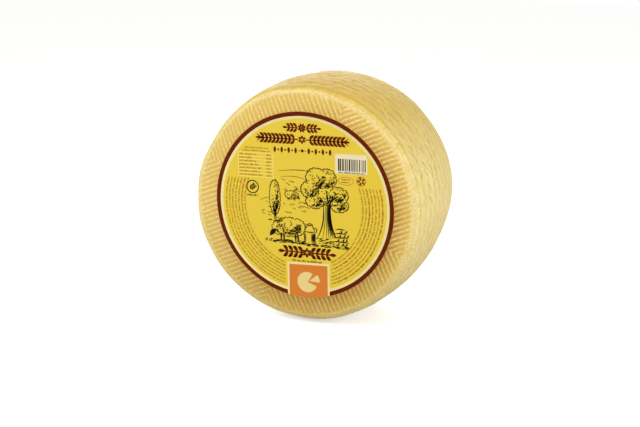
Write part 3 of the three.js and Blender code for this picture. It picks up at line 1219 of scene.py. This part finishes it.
def curl_fill(shape, count, seed, size=0.9, width=0.62):
    """Open curls inside an ellipse."""
    centres = inside_round(shape, count, seed, 0.8)
    draw = chance(seed + 1)
    start, radii, sweep = (
        draw.uniform(low, high, len(centres)) for low, high in ((-2.6, -0.6), (0.6, 1.15), (2.2, 3.6))
    )
    return curls(centres, size * radii, start, sweep, width)


def shade_strokes(shape, count, seed, length, lean, width):
    """Short slanted strokes on the shaded side of an ellipse."""
    centres = inside_round(shape, count, seed, 1.0)
    centres = centres[((centres - shape[:2]) / shape[2:]) @ np.array(TO_SHADE) > 0.25]
    half = toward(lean) * length / 2
    return leaves(centres - half, centres + half, width, 0.08, 5)


# %% Oak
oak = [
    (7.0, 14.0, 7.5, 6.2), (11.8, 23.5, 8.0, 7.2), (20.6, 23.0, 7.0, 7.6), (30.2, 10.5, 7.2, 5.6),
    (20.5, 10.0, 9.0, 6.6), (10.5, 5.0, 6.8, 5.0), (31.0, 3.0, 6.6, 4.8),
]
engraving = []
for k, mass in enumerate(oak):
    others = oak[:k] + oak[k + 1 :]
    engraving += [
        scallops(mass, 2.2, 400 + k, others, 0.85),
        curl_fill(mass, 60, 420 + k),
        shade_strokes(mass, 130, 440 + k, 2.6, 0.9, 0.75),
    ]
trunk_left = pairs((17.2, 18.2, 17.6, 15.6, 11.0), (4.0, -4.0, -13.0, -20.0, -26.5))
trunk_right = pairs((23.4, 22.6, 23.0, 24.6, 28.6), (4.0, -4.0, -12.0, -19.0, -24.5))
PEN_STATIONS = 25


def smooth_line(corners):
    """A smooth path led by a few corners, weighed with the Bernstein curves. It starts at the first corner
    and ends at the last."""
    t = np.linspace(0, 1, PEN_STATIONS)[:, None]
    order = len(corners) - 1
    weights = [math.comb(order, k) * t**k * (1 - t) ** (order - k) for k in range(order + 1)]
    return sum(weight * corner for weight, corner in zip(weights, corners))


def pen(corners, width):
    """A smooth pen line that thins at its ends."""
    path = smooth_line(np.asarray(corners, dtype=float))
    return path[None], width * (0.35 + 0.65 * np.sin(np.linspace(0, math.pi, PEN_STATIONS)))[None]


left_line, right_line = smooth_line(trunk_left), smooth_line(trunk_right)
engraving += [pen(trunk_left, 1.1), pen(trunk_right, 1.6)]
for share in (0.3, 0.5, 0.62, 0.72, 0.8, 0.87, 0.93):
    engraving.append(pen(left_line[::6] + (right_line[::6] - left_line[::6]) * share, 0.4 + 0.5 * share))
bark_z = np.linspace(2.5, -21.0, 22)
bark = pairs(np.interp(-bark_z, -right_line[:, 1], right_line[:, 0]) - 0.3, bark_z)
engraving.append(leaves(bark, bark - (3.2, 0.9), 0.7, 0.1, 5))
engraving += [
    pen([(18.4, 3.0), (16.0, 7.5), (11.5, 9.0)], 1.0), pen([(21.0, 3.0), (21.5, 9.0), (19.5, 14.5)], 1.2),
    pen([(22.6, 3.0), (25.5, 8.0), (30.0, 9.5)], 1.1), pen([(22.4, 0.5), (26.0, 3.0), (29.5, 2.5)], 0.8),
]
print("the oak has", sum(len(paths) for paths, _ in engraving), "marks")

# %% Stone wall and milk churn
COURSES = 4
COURSE_HEIGHT = 3.5
stone_draw = chance(77)
for course in range(COURSES):
    low = -31.0 + COURSE_HEIGHT * course
    high = low + COURSE_HEIGHT
    start = 26.2 + 0.7 * course
    joints = start + np.cumsum(stone_draw.uniform(2.6, 4.6, 5))
    joints = joints[joints < 39]
    engraving += [
        pen([(start - 1.0, high), (32.0, high + 0.7), (39.4 - 1.3 * course, high - 0.2)], 1.0),
        leaves(pairs(joints, low + 0.3), pairs(joints + 0.3, high - 0.2), 1.0, 0.05, 5),
        leaves(pairs(joints - 0.8, low + 0.5), pairs(joints - 0.6, high - 0.8), 0.6, 0.0, 5),
        leaves(pairs(joints - 2.4, low + 0.8), pairs(joints - 0.9, low + 0.7), 0.8, 0.0, 5),
    ]
churn_middle, churn_foot = 5.4, -30.6
churn = [
    [(-4.4, 0.0), (-4.7, 5.0), (-4.4, 10.0)], [(4.4, 0.0), (4.7, 5.0), (4.4, 10.0)],
    [(-4.4, 10.0), (-4.2, 12.4), (-2.3, 13.4), (-2.3, 15.0)],
    [(4.4, 10.0), (4.2, 12.4), (2.3, 13.4), (2.3, 15.0)],
    [(-4.4, 0.0), (0.0, -1.8), (4.4, 0.0)], [(-4.4, 10.0), (0.0, 8.6), (4.4, 10.0)],
    [(-3.0, 15.4), (0.0, 14.2), (3.0, 15.4)], [(-3.0, 15.4), (0.0, 17.2), (3.0, 15.4)],
    [(4.5, 9.0), (7.2, 10.2), (6.4, 13.6), (3.6, 13.2)],
]
engraving += [pen(np.add(line, (churn_middle, churn_foot)), 0.95) for line in churn]
shade_x = churn_middle + np.array([-3.6, 1.6, 2.3, 2.9, 3.4, 3.9])
engraving.append(leaves(pairs(shade_x, churn_foot + 0.2), pairs(shade_x, churn_foot + 9.2), 0.7, 0.0))
print("a wall of", COURSES, "courses and a churn of", len(churn), "lines")

# %% Ewe and poplar
def ewe(middle, size, facing, seed):
    """A grazing sheep of the given half length, made of curls, with a dark face and legs."""
    x, z = middle
    body = (x, z, size, size * 0.62)
    rump = (x - facing * size * 0.62, z + size * 0.04, size * 0.5, size * 0.52)
    neck = (x + facing * size * 0.95, z - size * 0.1, size * 0.36, size * 0.42)
    chin = np.array([x + facing * size * 1.16, z - size * 0.34])
    nose = chin + (facing * size * 0.42, -size * 0.42)
    ear_root = chin + (-facing * size * 0.02, size * 0.1)
    ear_tip = chin + (-facing * size * 0.3, -size * 0.1)
    leg_x = x + size * np.array([-0.72, -0.5, 0.42, 0.62])
    hip = pairs(leg_x, z - size * 0.42)
    hoof = pairs(leg_x + size * 0.05, z - size * 1.06)
    return [
        scallops(body, size * 0.21, seed, [rump, neck], 0.8),
        scallops(rump, size * 0.2, seed + 1, [body, neck], 0.8),
        scallops(neck, size * 0.18, seed + 2, [body], 0.7),
        curl_fill(body, int(11 * size), seed + 3, size * 0.085),
        curl_fill(neck, int(3 * size), seed + 4, size * 0.08),
        shade_strokes(body, int(22 * size), seed + 5, size * 0.22, 0.5, 0.7),
        leaves([chin + (-facing * size * 0.1, size * 0.14)], [nose], size * 0.36, facing * 0.06),
        leaves([ear_root], [ear_tip], size * 0.13),
        leaves(hip, hoof, size * 0.15, 0.02),
    ]


engraving += ewe((-12.0, -18.5), 11.0, -1, 500)
engraving += ewe((-10.0, 8.5), 4.6, 1, 520)
poplar = (-24.6, 5.5, 3.9, 13.4)
engraving += [
    scallops(poplar, 1.7, 540, (), 0.75),
    curl_fill(poplar, 110, 541, 0.75, 0.6),
    shade_strokes(poplar, 200, 542, 2.6, 1.35, 0.7),
    pen([(-25.0, -12.0), (-24.6, -8.5), (-24.8, -4.0)], 1.3),
    pen([(-23.8, -12.0), (-23.9, -8.5), (-24.0, -4.0)], 0.9),
]
print("two ewes and a poplar bring the engraving to", sum(len(paths) for paths, _ in engraving), "marks")

# %% Hills, furrows and ground
def furrows(x_low, x_high, z_low, z_high, count, slope, seed, width=0.55):
    """Chance tapered dashes of one slope inside a box."""
    draw = chance(seed)
    starts = pairs(draw.uniform(x_low, x_high, count), draw.uniform(z_low, z_high, count))
    ends = starts + pairs(1.0, slope) * draw.uniform(1.6, 4.6, count)[:, None]
    return leaves(starts, ends, width, 0.04, 6)


engraving += [
    pen([(-21.0, 27.6), (-8.0, 29.6), (2.0, 29.6), (8.6, 28.2)], 0.6),
    pen([(-19.0, 22.6), (-10.0, 24.8), (-2.0, 23.8), (4.0, 21.2)], 0.45),
    pen([(-38.0, 2.0), (-33.0, 4.8), (-29.5, 5.4)], 0.45),
    furrows(-19, 1, 11, 22, 16, -0.34, 560),
    furrows(-19, 3, -6, 4, 16, -0.3, 561),
    furrows(-37, -30, -10, 2, 7, -0.2, 562),
    furrows(-32, -19, -14.5, -11, 14, 0.02, 563, 0.7),
    furrows(-32, 0, -32.0, -29.2, 60, 0.03, 564, 0.8),
    furrows(0, 36, -33.0, -31.0, 40, 0.02, 565, 0.8),
    furrows(10, 25, -30, -25.5, 26, 0.04, 566, 0.7),
]
GRASS = 60
grass_x, grass_z, grass_lean = (
    chance(seed).uniform(low, high, GRASS)
    for seed, low, high in ((570, -34, 36), (571, -32.5, -30.5), (572, -0.7, 0.9))
)
grass = pairs(grass_x, grass_z)
engraving.append(leaves(grass, grass + pairs(grass_lean, 1.8), 0.4, 0.1, 5))
engraving += [straight_print(-49.2, -38.6, 5.2, 33, 1.15), straight_print(-10, 16, -46.6, 34, 1.15)]
print("hills, furrows, grass and ticks bring it to", sum(len(paths) for paths, _ in engraving), "marks")

# %% Ring with a leaf
RING_MIDDLE = (-43.9, 12.9)
leaf_mark = [
    leaf_pairs(np.array([-2.4, -0.6, 1.2]), 0.0, 2.9, 1.3, 0.7),
    bars([(-3.4, 0)], [(3.4, 0)], 0.45),
]
LEAF_TURN = np.array([[0.77, 0.64], [-0.64, 0.77]])
leaf_mark = [(paths @ LEAF_TURN + RING_MIDDLE, widths) for paths, widths in leaf_mark]
ring_mark = [curls([RING_MIDDLE], 5.1, 0.0, TURN, 0.9, 41)]
ink("label_engraving", engraving + ring_mark + leaf_mark, BLACK)
